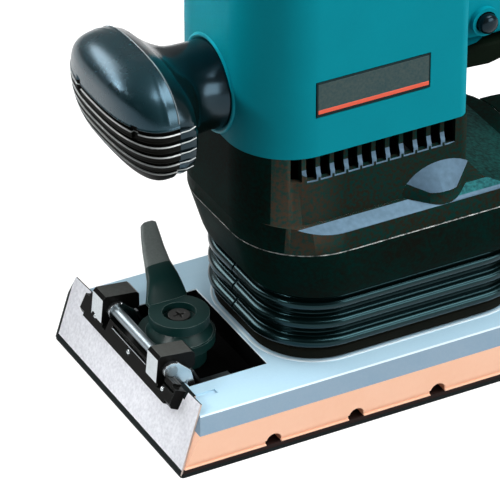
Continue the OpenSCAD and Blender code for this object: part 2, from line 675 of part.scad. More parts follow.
module cord_bush() color("#18191b") translate([121.5, 0, bush_z]) rotate([0, 90, 0]) difference() {
  rotate_extrude() polygon([[0, 0], [bush_r + 2, 0], [bush_r + 2, 1.4], [bush_r - 0.05, 1.4], [bush_r - 0.05, 6.6],
    [bush_r + 2, 6.6], [bush_r + 2, 8.7], [bush_r - 1, 18], [bush_r - 1.6, 18.6], [0, 18.6]]);
  translate([0, 0, -1]) cylinder(h = 30, r = 4.5);
}

module handle_screws() color("silver") for (p = screw_spots) translate([p[0], 0, p[1]]) rotate([-90, 0, 0])
  translate([0, 0, handle_hw - 5]) difference() {
    cylinder(h = 2, r = 3.4);
    for (a = [0, 90]) rotate([0, 0, a]) translate([-2, -0.4, 1.2]) cube([4, 0.8, 2]);
  }

// ---- motor ----

// Ring sector between two radii and two angles
module sector(r0, r1, from, to) polygon(concat(
  [for (i = [0 : 8]) let (t = from + (to - from) * i / 8) r1 * [cos(t), sin(t)]],
  [for (i = [8 : -1 : 0]) let (t = from + (to - from) * i / 8) r0 * [cos(t), sin(t)]]));

module stator_core() color("#5c6166") translate([motor_x, 0, core_low]) difference() {
  cylinder(h = core_high - core_low, r = stator_r);
  translate([0, 0, -1]) cylinder(h = 100, r = armature_r + air_gap);
  for (a = [50, 130, 230, 310]) rotate([0, 0, a]) translate([0, 0, -1])
    linear_extrude(80) sector(armature_r, 34, -10, 10);
}

// Two field coils, front and rear, each a loop round one pole
module field_coils() color("#a5572d") translate([motor_x, 0, 0]) for (a = [0, 180]) rotate([0, 0, a]) difference() {
  translate([0, 0, core_low - 9]) linear_extrude(core_high - core_low + 18) sector(armature_r + 2.2, 33, -57, 57);
  translate([0, 0, core_low - 0.05]) linear_extrude(core_high - core_low + 0.1) sector(armature_r, 36, -43, 43);
}

module bearing_ring(z, h, outer, inner) translate([motor_x, 0, z]) difference() {
  cylinder(h = h, r = outer);
  translate([0, 0, -1]) cylinder(h = h + 2, r = inner);
}

module upper_bearing() color("silver") bearing_ring(190, 7, 11, 5.05);
module lower_bearing() color("silver") bearing_ring(84, 11, 17.5, 7.55);

module upper_bracket() color("#3a3d40") translate([motor_x, 0, 0]) difference() {
  union() {
    translate([0, 0, 188.3]) cylinder(h = 10.7, r = 14);
    for (a = [35, 145, 215, 325]) rotate([0, 0, a]) translate([12, -5, 194]) cube([32, 10, 4]);
    for (s = [-1, 1]) {
      translate([-8, s > 0 ? 10 : -38, 194]) cube([16, 28, 4]);
      translate([-5, s > 0 ? 17 : -35, 187.75]) cube([10, 18, 7]);
    }
  }
  translate([0, 0, 190]) cylinder(h = 7, r = 11);
  translate([0, 0, 187]) cylinder(h = 20, r = 7);
}

module bearing_box() color("#9aa0a4") difference() {
  union() {
    slab(-61, 40, 39, 25, 18, casing_top + 0.05, 82.9);
    translate([motor_x, 0, 81]) cylinder(h = 15, r = 21);
    for (a = [30 : 60 : 330]) translate([motor_x, 0, 82]) rotate([0, 0, a]) translate([18, -1.5, 0]) cube([17, 3, 8]);
  }
  translate([motor_x, 0, 84]) cylinder(h = 11, r = 17.5);
  translate([motor_x, 0, 70]) cylinder(h = 40, r = 9.5);
  for (s = [-1, 1]) translate([niche_x - 1, s * 35.8, 70]) cylinder(h = 20, r = 2.6);
}

module brush_holder(s) color("#c8a24a") translate([motor_x, s * 25.5, 184]) difference() {
  cube([9.4, 20, 7.4], center = true);
  translate([0, s * -2, 0]) cube([7, 20, 5], center = true);
}

module brush(s) color("#2a2a2a") translate([motor_x, s * 20.6, 184]) cube([6.9, 13, 4.9], center = true);

module cover_spots(z) for (x = [motor_front + 22, motor_rear - 13], y = [-25, 25]) translate([x, y, z]) children();

module cover_screws() color("silver") difference() {
  cover_spots(cover_low + 13) cylinder(h = 2.2, r = 3.6);
  cover_spots(cover_low + 14.2) for (a = [0, 90]) rotate([0, 0, a]) translate([-2.2, -0.4, 0]) cube([4.4, 0.8, 2]);
}

// Round screw seats under the bulges
module skirt_boss(side) intersection() {
  translate([niche_x - 1, side * 35.8, 83.2]) cylinder(h = 10.8, r = 13.2);
  slab(skirt_front, skirt_rear, skirt_hw - 0.1, skirt_rf, skirt_rr, casing_top, 100);
}

// Driven upwards, they clamp the bearing box under the skirt
module housing_screws() color("#b9bec2") for (s = [-1, 1]) translate([niche_x - 1, s * 35.8, 0]) difference() {
  union() {
    translate([0, 0, casing_top - 3]) cylinder(h = 3, r = 3.9);
    translate([0, 0, casing_top - 0.5]) cylinder(h = 11, r = 2.5);
  }
  translate([0, 0, casing_top - 4]) cylinder(h = 2.8, r = 2, $fn = 6);
}

// ---- rotor ----

module shaft() color("#b5babe") translate([motor_x, 0, 0]) {
  translate([0, ecc, 26.6]) cylinder(h = 17.4, r = 5.95);
  translate([0, 0, 43.9]) cylinder(h = 8.2, r = 9.2);
  translate([0, 0, 52]) cylinder(h = 46, r = 7.5);
  translate([0, 0, 98]) cylinder(h = 78, r = 6);
  translate([0, 0, 176]) cylinder(h = shaft_top - 176, r = 5);
}

module armature_core() color("#4d5155") translate([motor_x, 0, core_low]) difference() {
  cylinder(h = core_high - core_low, r = armature_r);
  translate([0, 0, -1]) cylinder(h = 80, r = 6);
  for (a = [0 : 30 : 330]) rotate([0, 0, a]) translate([armature_r - 3, -1.2, -1]) cube([6, 2.4, 80]);
}

module armature_windings() color("#a5572d") translate([motor_x, 0, 0]) for (z = [core_low - 8, core_high + 0.05])
  translate([0, 0, z]) difference() {
    rotate_extrude() polygon([[8, 0], [18, 0], [22, 2.5], [22, 5.5], [18, 7.95], [8, 7.95]]);
    translate([0, 0, -1]) cylinder(h = 20, r = 8);
  }

module commutator() color("#b87a3c") translate([motor_x, 0, 176.2]) difference() {
  cylinder(h = 11.5, r = 14);
  translate([0, 0, -1]) cylinder(h = 20, r = 5);
  for (i = [0 : bars - 1]) rotate([0, 0, i * 360 / bars]) translate([12.6, -0.3, -1]) cube([3, 0.6, 20]);
}

module fan() color("#2e3336") translate([motor_x, 0, fan_z]) difference() {
  union() {
    cylinder(h = 2, r = fan_r);
    cylinder(h = 12, r = 12);
    for (i = [0 : fan_blades - 1]) rotate([0, 0, (i + 0.4) * 360 / fan_blades])
      translate([11, -0.9, 1]) cube([fan_r - 12, 1.8, 11]);
  }
  translate([0, 0, -1]) cylinder(h = 20, r = 6);
}

module counterweight() color("#7b6a3a") translate([motor_x, 0, 53]) difference() {
  union() {
    cylinder(h = 12, r = 12);
    intersection() {
      cylinder(h = 12, r = 23);
      translate([-30, -30, -1]) cube([60, 30, 20]);
    }
  }
  translate([0, 0, -1]) cylinder(h = 20, r = 7.5);
}

motor_housing();
top_cover();
skirt();
casing_base();
dust_duct();
dust_nozzle();
boot();
post(-1, -1, casing_top);  // post_front_left
post(-1, 1, casing_top);  // post_front_right
post(1, -1, post_roof);  // post_rear_left
post(1, 1, post_roof);  // post_rear_right
grip_front();
grip_rear();
grip_bolt();
badge(-1);  // badge_left
badge(1);  // badge_right
handle_left();
handle_right();
handle_liner();
switch_block();
cord_bush();
trigger();
trigger_pin();
lock_button();
stator_core();
field_coils();
upper_bracket();
upper_bearing();
lower_bearing();
bearing_box();
brush_holder(-1);  // brush_holder_left
brush_holder(1);  // brush_holder_right
brush(-1);  // brush_left
brush(1);  // brush_right
cover_screws();
housing_screws();
handle_screws();
shaft();
armature_core();
armature_windings();
commutator();
fan();
counterweight();
base_plate();
crank_bearing();
pad();
pad_facing();
abrasive_sheet();
clamp_bracket();  // front_bracket
at_rear() clamp_bracket();  // rear_bracket
clamp_rod();  // front_rod
at_rear() clamp_rod();  // rear_rod
clamp_post();  // front_post
at_rear() clamp_post();  // rear_post
clamp_spring();  // front_spring
at_rear() clamp_spring();  // rear_spring
clamp_lever();  // front_lever
at_rear() clamp_lever();  // rear_lever
clamp_jaw();  // front_jaw
at_rear() clamp_jaw();  // rear_jaw
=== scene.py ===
"""Dressed model of a half-sheet orbital sander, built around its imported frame."""
import json
import math

import bmesh
import bpy
from mathutils import Matrix, Vector
from mathutils.bvhtree import BVHTree

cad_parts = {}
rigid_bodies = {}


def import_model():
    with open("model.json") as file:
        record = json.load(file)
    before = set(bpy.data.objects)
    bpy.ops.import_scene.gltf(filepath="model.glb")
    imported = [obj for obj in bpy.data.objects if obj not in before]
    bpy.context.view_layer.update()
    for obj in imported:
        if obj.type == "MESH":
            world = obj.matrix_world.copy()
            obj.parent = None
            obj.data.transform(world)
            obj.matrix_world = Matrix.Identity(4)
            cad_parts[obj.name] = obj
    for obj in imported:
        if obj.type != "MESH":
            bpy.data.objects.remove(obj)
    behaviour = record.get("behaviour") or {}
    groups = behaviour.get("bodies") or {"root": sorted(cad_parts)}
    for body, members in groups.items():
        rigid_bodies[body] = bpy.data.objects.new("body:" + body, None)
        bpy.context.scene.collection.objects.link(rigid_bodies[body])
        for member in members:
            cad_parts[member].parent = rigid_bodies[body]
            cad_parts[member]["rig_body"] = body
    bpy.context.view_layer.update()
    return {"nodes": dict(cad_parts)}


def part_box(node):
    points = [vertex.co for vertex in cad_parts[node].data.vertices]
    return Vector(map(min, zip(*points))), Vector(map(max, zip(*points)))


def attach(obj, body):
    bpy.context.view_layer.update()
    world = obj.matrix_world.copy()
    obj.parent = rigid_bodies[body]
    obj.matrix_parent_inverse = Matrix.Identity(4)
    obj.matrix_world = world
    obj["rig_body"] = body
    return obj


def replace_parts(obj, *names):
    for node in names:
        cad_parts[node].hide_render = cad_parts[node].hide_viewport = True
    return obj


MM = 0.001
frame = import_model()
nodes = frame["nodes"]

# ---------------------------------------------------------------- the view
# A long lens looks down on the near front corner, from so far away that the
# pad's long sides stay almost parallel.
TURN, DROP = math.radians(-28.03), math.radians(32.559)
ASIDE, UP, AWAY = -47.592, 34.659, 1878.717
away = Vector((math.sin(TURN) * math.cos(DROP), -math.cos(TURN) * math.cos(DROP), math.sin(DROP)))
aside = Vector((math.cos(TURN), math.sin(TURN), 0))
camera = bpy.data.objects.new("camera", bpy.data.cameras.new("camera"))
bpy.context.scene.collection.objects.link(camera)
camera.location = (aside * ASIDE + away.cross(aside) * UP + away * AWAY) * MM
camera.rotation_mode = "QUATERNION"
camera.rotation_quaternion = (-away).to_track_quat("-Z", "Y")
camera.data.sensor_width = 36
camera.data.lens = 324
camera.data.clip_start, camera.data.clip_end = 0.05, 50
bpy.context.scene.camera = camera
bpy.context.scene.view_settings.view_transform = "Standard"


# ---------------------------------------------------------------- floor, room and lamps
# A matt white table that keeps a faint shadow, in a white room that is darker
# towards the front of the tool. An overhead soft box, one behind to the left
# and one near the handle light it; two small snoots lift the clamp and housing.
def hexed(code):
    """Linear colour of an sRGB hex value."""
    parts = [int(code[i:i + 2], 16) / 255 for i in (1, 3, 5)]
    return [p / 12.92 if p <= 0.04045 else ((p + 0.055) / 1.055) ** 2.4 for p in parts] + [1]


def put(tree, kind, inputs=None, **settings):
    """Adds a shader node with its settings, and links or sets its inputs."""
    node = tree.nodes.new(kind)
    for key, value in settings.items():
        setattr(node, key, value)
    for key, value in (inputs or {}).items():
        if isinstance(value, bpy.types.NodeSocket):
            tree.links.new(value, node.inputs[key])
        else:
            node.inputs[key].default_value = value
    return node


def blank_material(name):
    """A new material and its empty node tree."""
    material = bpy.data.materials.new(name)
    material.use_nodes = True
    material.node_tree.nodes.clear()
    return material, material.node_tree


TABLE_HALF = 6
white_board, tree = blank_material("floor_matt_white_board")
rays = put(tree, "ShaderNodeLightPath")
seen = put(tree, "ShaderNodeMath", {0: rays.outputs["Is Camera Ray"],
                                    1: rays.outputs["Is Glossy Ray"]}, operation="MAXIMUM")
board = put(tree, "ShaderNodeBsdfDiffuse", {"Color": hexed("#9c9c9c")})
glow = put(tree, "ShaderNodeEmission", {"Color": (1, 1, 1, 1), "Strength": 0.8})
lit_board = put(tree, "ShaderNodeAddShader", {0: board.outputs[0], 1: glow.outputs[0]})
mixed = put(tree, "ShaderNodeMixShader", {"Fac": seen.outputs[0], 1: board.outputs[0],
                                          2: lit_board.outputs[0]})
put(tree, "ShaderNodeOutputMaterial", {"Surface": mixed.outputs[0]})
bm = bmesh.new()
bmesh.ops.create_grid(bm, x_segments=1, y_segments=1, size=TABLE_HALF)
floor = bpy.data.objects.new("floor", bpy.data.meshes.new("floor"))
bm.to_mesh(floor.data)
bm.free()
bpy.context.scene.collection.objects.link(floor)
floor.data.materials.append(white_board)

world = bpy.data.worlds.new("studio")
bpy.context.scene.world = world
world.use_nodes = True
tree = world.node_tree
tree.nodes.clear()
rays = put(tree, "ShaderNodeLightPath")
seen = put(tree, "ShaderNodeMath", {0: rays.outputs["Is Camera Ray"],
                                    1: rays.outputs["Is Transmission Ray"]}, operation="MAXIMUM")
sky_way = put(tree, "ShaderNodeTexCoord").outputs["Generated"]
frontness = put(tree, "ShaderNodeVectorMath", {0: sky_way, 1: (-0.9, -0.3, -0.3)},
                operation="DOT_PRODUCT")
dimmed = put(tree, "ShaderNodeMapRange", {"Value": frontness.outputs["Value"], "From Min": -0.2,
                                          "From Max": 0.75, "To Min": 0.34, "To Max": 0.06})
strength = put(tree, "ShaderNodeMix", {0: seen.outputs[0], 2: dimmed.outputs[0], 3: 1.0})
light = put(tree, "ShaderNodeBackground", {"Color": (1, 1, 1, 1),
                                           "Strength": strength.outputs[0]})
put(tree, "ShaderNodeOutputWorld", {"Surface": light.outputs[0]})

# Name, place and aim in metres, size in metres, watts, spread in degrees
LAMPS = (("overhead_box", (0.45, -0.4, 1.25), (0, 0, 0.1), (0.8, 0.8), 19, 180),
         ("left_rear_box", (-0.66, 1.0, 1.0), (-0.05, 0, 0.1), (1.1, 0.4), 12, 180),
         ("near_box", (0.75, -1.3, 0.5), (0, 0, 0.1), (0.8, 0.7), 11.4, 180),
         ("clamp_snoot", (-0.46, -0.12, 0.26), (-0.112, 0.0, 0.01), (0.1, 0.1), 0.03, 24),
         ("housing_snoot", (-0.55, 0.3, 0.5), (-0.073, 0.03, 0.205), (0.08, 0.08), 0.042, 14))
for name, place, aim, size, power, spread in LAMPS:
    lamp = bpy.data.objects.new(name, bpy.data.lights.new(name, "AREA"))
    lamp.data.shape = "RECTANGLE"
    lamp.data.size, lamp.data.size_y = size
    lamp.data.energy = power
    lamp.data.spread = math.radians(spread)
    lamp.location = place
    lamp.rotation_mode = "QUATERNION"
    lamp.rotation_quaternion = (Vector(aim) - Vector(place)).to_track_quat("-Z", "Y")
    bpy.context.scene.collection.objects.link(lamp)


def finish(name, colour, shade, roughness, grain_mm=0.5, depth_mm=0.01, patch_mm=18,
           spread=0.5, fleck=0.35, **sockets):
    """Opaque surface whose colour drifts a little and whose skin has a fine grain.

    The drift runs from colour to shade in patches and in flecks of three grains. The grains
    are drawn coarser than the real ones of moulded and lacquered skins, so that they show."""
    material, tree = blank_material(name)
    where = put(tree, "ShaderNodeTexCoord").outputs["Object"]
    patch = put(tree, "ShaderNodeTexNoise", {"Vector": where, "Scale": 1000 / patch_mm,
                                             "Detail": 4.0})
    mottle = put(tree, "ShaderNodeTexNoise", {"Vector": where, "Scale": 1000 / (grain_mm * 3),
                                              "Detail": 3.0})
    drift = put(tree, "ShaderNodeMix", {0: fleck, 2: patch.outputs["Fac"],
                                        3: mottle.outputs["Fac"]})
    share = put(tree, "ShaderNodeMapRange", {"Value": drift.outputs[0],
                                             "From Min": 0.5 - spread / 2,
                                             "From Max": 0.5 + spread / 2})
    tint = put(tree, "ShaderNodeMix", {0: share.outputs[0], 6: hexed(colour),
                                       7: hexed(shade)}, data_type="RGBA")
    grain = put(tree, "ShaderNodeTexNoise", {"Vector": where, "Scale": 1000 / grain_mm,
                                             "Detail": 2.0})
    relief = put(tree, "ShaderNodeBump", {"Height": grain.outputs["Fac"], "Strength": 0.6,
                                          "Distance": depth_mm * MM})
    polish = put(tree, "ShaderNodeMapRange", {"Value": drift.outputs[0],
                                              "To Min": roughness - 0.06,
                                              "To Max": roughness + 0.06})
    skin = put(tree, "ShaderNodeBsdfPrincipled", {
        "Base Color": tint.outputs[2], "Roughness": polish.outputs[0],
        "Normal": relief.outputs["Normal"]})
    for socket, value in sockets.items():
        skin.inputs[socket.replace("_", " ")].default_value = value
    put(tree, "ShaderNodeOutputMaterial", {"Surface": skin.outputs[0]})
    return material


def piece_from(bm, name, node, materials, sharp_deg=32, smooth=True):
    """Makes the mesh a piece that rides on a frame node's body, in its slot's finish."""
    for face in bm.faces:
        face.smooth = smooth
    mesh = bpy.data.meshes.new(name)
    bm.to_mesh(mesh)
    bm.free()
    mesh.set_sharp_from_angle(angle=math.radians(sharp_deg))
    piece = bpy.data.objects.new(name, mesh)
    bpy.context.scene.collection.objects.link(piece)
    for material in materials:
        piece.data.materials.append(material)
    normals = piece.modifiers.new("even_shading", "WEIGHTED_NORMAL")
    normals.keep_sharp = True
    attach(piece, nodes[node]["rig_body"])
    return piece


def stand_in(bm, node, materials, name=None, **shading):
    """Makes the mesh a piece that stands for a frame node."""
    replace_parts(piece_from(bm, name or node + "_skin", node, materials, **shading), node)


def welded(node):
    """A frame node's form as a joined mesh with whole flat faces."""
    bm = bmesh.new()
    bm.from_mesh(nodes[node].data)
    bmesh.ops.remove_doubles(bm, verts=bm.verts, dist=1e-6)
    bmesh.ops.dissolve_limit(bm, angle_limit=math.radians(0.5), verts=bm.verts, edges=bm.edges)
    return bm


def ease_edges(bm, edge_mm, corner_deg=28, rounds=2, within=None, slot=-1):
    """Breaks the sharp edges by a small radius, as a mould or a file leaves them."""
    corners = [e for e in bm.edges
               if e.is_manifold and e.calc_face_angle(0) > math.radians(corner_deg)
               and (within is None or within((e.verts[0].co + e.verts[1].co) / 2 / MM))]
    bmesh.ops.bevel(bm, geom=corners, offset=edge_mm * MM, offset_type="OFFSET",
                    segments=rounds, profile=0.5, affect="EDGES", clamp_overlap=True,
                    material=slot)


def eased(node, material, edge_mm):
    """A frame node's form with eased edges, standing for the node."""
    bm = welded(node)
    ease_edges(bm, edge_mm)
    stand_in(bm, node, [material])


def coat(material, *names):
    """Gives carried-over frame nodes their finish."""
    for name in names:
        nodes[name].data.materials.clear()
        nodes[name].data.materials.append(material)


def skinned(bm, rows, columns, place, ends_open=True):
    """Adds a grid wrapped into a skin: place(row share, column share) is a point in mm."""
    for vert in bmesh.ops.create_grid(bm, x_segments=rows, y_segments=columns, size=0.5)["verts"]:
        vert.co = Vector(place(round((vert.co.x + 0.5) * rows) / rows,
                               round((vert.co.y + 0.5) * columns) / columns)) * MM
    bmesh.ops.remove_doubles(bm, verts=bm.verts, dist=1e-7)
    if ends_open:
        bmesh.ops.holes_fill(bm, edges=[e for e in bm.edges if e.is_boundary], sides=0)
    bmesh.ops.recalc_face_normals(bm, faces=bm.faces)


def bead(bm, line, radius_mm, closed=False, sides=6, axis=(1, 0, 0)):
    """Adds a thin round bead along a line of points in mm that runs square to an axis."""
    count = len(line)
    steps = count if closed else count - 1

    def bead_point(row, column):
        at, turn = round(row * steps), 2 * math.pi * column
        ahead = line[(at + 1) % count if closed else min(at + 1, steps)]
        behind = line[(at - 1) % count if closed else max(at - 1, 0)]
        across = (ahead - behind).cross(Vector(axis)).normalized()
        return line[at % count] + radius_mm * (across * math.cos(turn)
                                               + Vector(axis) * math.sin(turn))

    skinned(bm, steps, sides, bead_point, ends_open=not closed)


teal_nylon = finish("teal_glass_filled_nylon_moulded", "#018594", "#017e8d", 0.5, grain_mm=0.4,
                    Specular_IOR_Level=0.05)
eased("motor_housing", teal_nylon, 0.5)
eased("top_cover", teal_nylon, 0.4)
steel = finish("steel_turned", "#b4b9bd", "#9ba1a6", 0.3, Metallic=1.0)
coat(steel, "housing_screws", "cover_screws", "handle_screws", "grip_bolt", "trigger_pin",
     "shaft", "upper_bearing", "lower_bearing", "crank_bearing")

NECK_HEIGHT, NECK_LIP_RADIUS = 141, 19.9
# The lip round the neck's seat is real, but its teal, brighter than the housing's, is a painted
# highlight.
painted_lip_highlight = finish("teal_nylon_lip_painted_highlight", "#02a0b2", "#0294a5", 0.4, Specular_IOR_Level=0.1)
wall = welded("motor_housing")
wall_tree = BVHTree.FromBMesh(wall)
wall.free()
wall_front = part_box("motor_housing")[0]
lip_line = []
for i in range(96):
    turn = 2 * math.pi * i / 96
    start = Vector((-120, NECK_LIP_RADIUS * math.cos(turn),
                    NECK_HEIGHT + NECK_LIP_RADIUS * math.sin(turn)))
    seat = wall_tree.ray_cast(start * MM, Vector((1, 0, 0)))[0] or wall_front
    lip_line.append(Vector((seat.x / MM, start.y, start.z)))
bm = bmesh.new()
bead(bm, lip_line, 0.8, closed=True, sides=8)
piece_from(bm, "neck_seat_lip", "motor_housing", [painted_lip_highlight])

# ---------------------------------------------------------------- nameplates
# A lacquered aluminium strip sits in a shallow recess on each side of the
# housing: dark rim, plain grey field and one coral line near the lower edge.
plate_rim = finish("badge_black_lacquer", "#062326", "#041c1e", 0.35, Specular_IOR_Level=0.1)
plate_grey = finish("badge_grey_lacquer", "#31474a", "#43514f", 0.4, spread=0.3, grain_mm=0.35,
                    fleck=0.8, Specular_IOR_Level=0.08)
plate_line = finish("badge_coral_lacquer", "#e0604a", "#d9573f", 0.4, Specular_IOR_Level=0.2)
# Raise and margin in mm, then the shares of the height from and to which each layer reaches
LAYERS = ((0.0, 0.0, 0.0, 1.0), (0.12, 0.6, 0.13, 0.955), (0.22, 0.6, 0.09, 0.205))
for side in ("left", "right"):
    low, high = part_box("badge_" + side)
    outward = -1 if side == "left" else 1
    face_y = low.y if side == "left" else high.y
    bm = bmesh.new()
    for index, (depth, margin, from_z, to_z) in enumerate(LAYERS):
        made = bmesh.ops.create_cube(bm, size=1)["verts"]
        wide = high.x - low.x - 2 * margin * MM
        tall = (high.z - low.z) * (to_z - from_z)
        thick = (high.y - low.y) + depth * MM
        bmesh.ops.scale(bm, verts=made, vec=(wide, thick, tall))
        bmesh.ops.translate(bm, verts=made, vec=(
            (low.x + high.x) / 2, face_y + outward * (depth * MM - thick / 2),
            low.z + (high.z - low.z) * (from_z + to_z) / 2))
        for face in {f for v in made for f in v.link_faces}:
            face.material_index = index
    ease_edges(bm, 0.08, 60, 1)
    stand_in(bm, "badge_" + side, [plate_rim, plate_grey, plate_line],
             name="badge_%s_strip" % side)

# ---------------------------------------------------------------- skirt, casing and dust duct
# Black nylon with a spark-eroded skin, bolted under the motor: matt, browner
# towards the front corners, and darker on faces turned to the front as painted
# shade. The front ledges, the bulge, the ribs, the skirt's edges and the casing's
# top edge carry a painted highlight, and the rear ledge and deck a painted teal sheen.
BLUISH = hexed("#9fcbe4")
black_nylon = finish("black_nylon_spark_textured", "#0a2c28", "#231f17", 0.5, grain_mm=0.5,
                     depth_mm=0.03, fleck=0.75, spread=0.2, Specular_IOR_Level=0.01,
                     Specular_Tint=BLUISH)
# Darker nylon: the casing's and duct's own colour, and painted shade on the skirt's faces turned to
# the front.
dark_nylon_and_front_shade = finish("black_nylon_dark_and_front_painted_shade", "#031f1b", "#0f120e", 0.5, grain_mm=0.5,
                      depth_mm=0.02, fleck=0.6, spread=0.25, Specular_IOR_Level=0.01,
                      Specular_Tint=BLUISH)
# The pale edge finish is a painted highlight along the skirt's and casing's edges.
painted_nylon_edge_highlight = finish("black_nylon_edge_painted_highlight", "#d6dad8", "#2a3230", 0.4, grain_mm=0.3,
                      patch_mm=4, fleck=0.4, spread=0.2, Specular_IOR_Level=0.3)
# Pale finish of the front ledges, the bulge, the ribs and the rear ledge's rim: painted highlight.
painted_nylon_highlight = finish("black_nylon_painted_highlight", "#546c80", "#455968", 0.4, grain_mm=0.8,
                      depth_mm=0.02, fleck=0.7, spread=0.4, Specular_IOR_Level=0.5,
                      Specular_Tint=BLUISH)
# Lighter teal finishes for the upward faces of the deck and rear ledge: painted sheen.
painted_deck_sheen = finish("black_nylon_deck_painted_sheen", "#103d3a", "#0a1e1c", 0.5, grain_mm=0.5,
                    depth_mm=0.03, fleck=0.75, spread=0.25, Specular_IOR_Level=0.02)
painted_ledge_sheen = finish("black_nylon_ledge_painted_sheen", "#2a6d70", "#1a4448", 0.5, grain_mm=0.5,
                     depth_mm=0.03, fleck=0.75, spread=0.3, Specular_IOR_Level=0.02)

# The skirt's sides turn browner from 34 mm to 60 mm in front of the middle
tree = black_nylon.node_tree
skin = tree.nodes["Principled BSDF"]
dust = put(tree, "ShaderNodeMix", {0: tree.nodes["Map Range"].outputs[0], 6: hexed("#223c37"),
                                   7: hexed("#47392e")}, data_type="RGBA")
place = put(tree, "ShaderNodeSeparateXYZ",
            {0: tree.nodes["Texture Coordinate"].outputs["Object"]})
front_browning = put(tree, "ShaderNodeMapRange", {"Value": place.outputs["X"], "From Min": -34 * MM,
                                             "From Max": -60 * MM, "To Max": 0.9})
front_browned = put(tree, "ShaderNodeMix", {0: front_browning.outputs[0], 7: dust.outputs[2],
                                     6: skin.inputs["Base Color"].links[0].from_socket},
             data_type="RGBA")
tree.links.new(front_browned.outputs[2], skin.inputs["Base Color"])

MOTOR_HALF, LEDGE_RIM, PALE_LEDGE_END, DECK_START = 42, 47.3, 13, 28


def cut(bm, place, way, parts=None):
    """Splits faces along the plane that stands square to a way at a place in mm."""
    parts = parts or bm.verts[:] + bm.edges[:] + bm.faces[:]
    bmesh.ops.bisect_plane(bm, geom=parts, dist=1e-7, plane_co=Vector(place) * MM, plane_no=way)


def skirt_finish(middle, normal):
    """The finish of a skirt face with its middle, in mm, and its normal."""
    wide = abs(middle.y)
    on_ledge = 0.75 < normal.z < 0.95 and wide > MOTOR_HALF + 0.2 and middle.z < 92
    on_rear_ledge = on_ledge and middle.x > PALE_LEDGE_END
    on_deck = middle.x > DECK_START and normal.z > 0.05 and middle.z > 80
    # Upward faces of the rear ledge and deck take the painted sheen, and the ledge's rim the
    # painted highlight.
    if on_rear_ledge or on_deck:
        return painted_nylon_highlight if wide > LEDGE_RIM else painted_ledge_sheen if on_rear_ledge else painted_deck_sheen
    on_bulge = 0.3 < normal.z < 0.95 and wide > MOTOR_HALF and 93.9 < middle.z < 105
    on_rib = 0.2 < normal.z < 0.6 and wide > 40.4 and 111 < middle.z < 117
    # The front ledges, the bulge and the ribs take the painted highlight.
    if on_ledge or on_bulge or on_rib:
        return painted_nylon_highlight
    # Faces turned to the front take the darker finish as painted shade.
    return dark_nylon_and_front_shade if normal.x < -0.68 and abs(normal.z) < 0.5 else black_nylon


skirt_finishes = [black_nylon, painted_nylon_highlight, painted_nylon_edge_highlight, painted_deck_sheen, dark_nylon_and_front_shade, painted_ledge_sheen]
bm = welded("skirt")
cut(bm, (PALE_LEDGE_END, 0, 0), (1, 0, 0))
cut(bm, (0, -LEDGE_RIM, 0), (0, 1, 0))
cut(bm, (0, LEDGE_RIM, 0), (0, 1, 0))
for face in bm.faces:
    face.material_index = skirt_finishes.index(
        skirt_finish(face.calc_center_median() / MM, face.normal))
# The rib edges take the painted highlight.
ease_edges(bm, 0.45, rounds=1, slot=skirt_finishes.index(painted_nylon_highlight),
           within=lambda p: abs(p.y) > MOTOR_HALF - 0.5 and 106 < p.z < 113)
# Edges of the skirt's lower part take the painted edge highlight.
ease_edges(bm, 0.3, slot=skirt_finishes.index(painted_nylon_edge_highlight),
           within=lambda p: p.z < 106 and abs(p.y) > MOTOR_HALF - 1 and abs(p.z - 88) > 1.5)
stand_in(bm, "skirt", skirt_finishes)
bm = welded("casing_base")
# The casing's top edge takes the painted edge highlight.
ease_edges(bm, 0.55, rounds=1, slot=1, within=lambda p: p.z > 78)
stand_in(bm, "casing_base", [dark_nylon_and_front_shade, painted_nylon_edge_highlight])
eased("dust_duct", dark_nylon_and_front_shade, 0.5)
smooth_black = finish("black_nylon_polished", "#0a1214", "#070d0f", 0.2, grain_mm=2.5,
                      Specular_IOR_Level=0.35, Specular_Tint=BLUISH)
eased("dust_nozzle", smooth_black, 0.3)

# ---------------------------------------------------------------- boot and posts
# A moulded rubber bellows with three folds: each has a wide glossy shoulder and
# a thin lip over it. A mould line nicks the shoulders at the front, and the
# foot is dull with dust. Four rubber posts stand inside it.
BOOT_LONG_HALF, BOOT_WIDE_HALF, BOOT_CORNER = 59.5, 41, 27
FOOT_TOP = 28.4


def boot_round(out, share):
    """Point out mm outside the boot's seat, share of the way round from the rear's middle."""
    radius = BOOT_CORNER + out
    flat_x, flat_y = BOOT_LONG_HALF - BOOT_CORNER, BOOT_WIDE_HALF - BOOT_CORNER
    bend = math.pi / 2 * radius
    quarter, way = divmod(share % 1 * 4, 1)
    left = (1 - way if quarter in (1, 3) else way) * (flat_y + bend + flat_x)
    if left < flat_y:
        x, y = flat_x + radius, left
    elif left < flat_y + bend:
        turn = (left - flat_y) / radius
        x, y = flat_x + radius * math.cos(turn), flat_y + radius * math.sin(turn)
    else:
        x, y = flat_x + flat_y + bend - left, flat_y + radius
    return Vector((-x if quarter in (1, 2) else x, -y if quarter > 1 else y, 0))


rubber = finish("black_rubber_moulded", "#030d0c", "#020908", 0.21, grain_mm=1.0,
                depth_mm=0.005, Specular_IOR_Level=0.6, Specular_Tint=hexed("#84c4cf"))
dusty_rubber = finish("black_rubber_foot_dusty", "#17160f", "#0d110e", 0.6, grain_mm=0.6,
                      fleck=0.6, Specular_IOR_Level=0.04)
low, high = (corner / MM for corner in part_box("boot"))
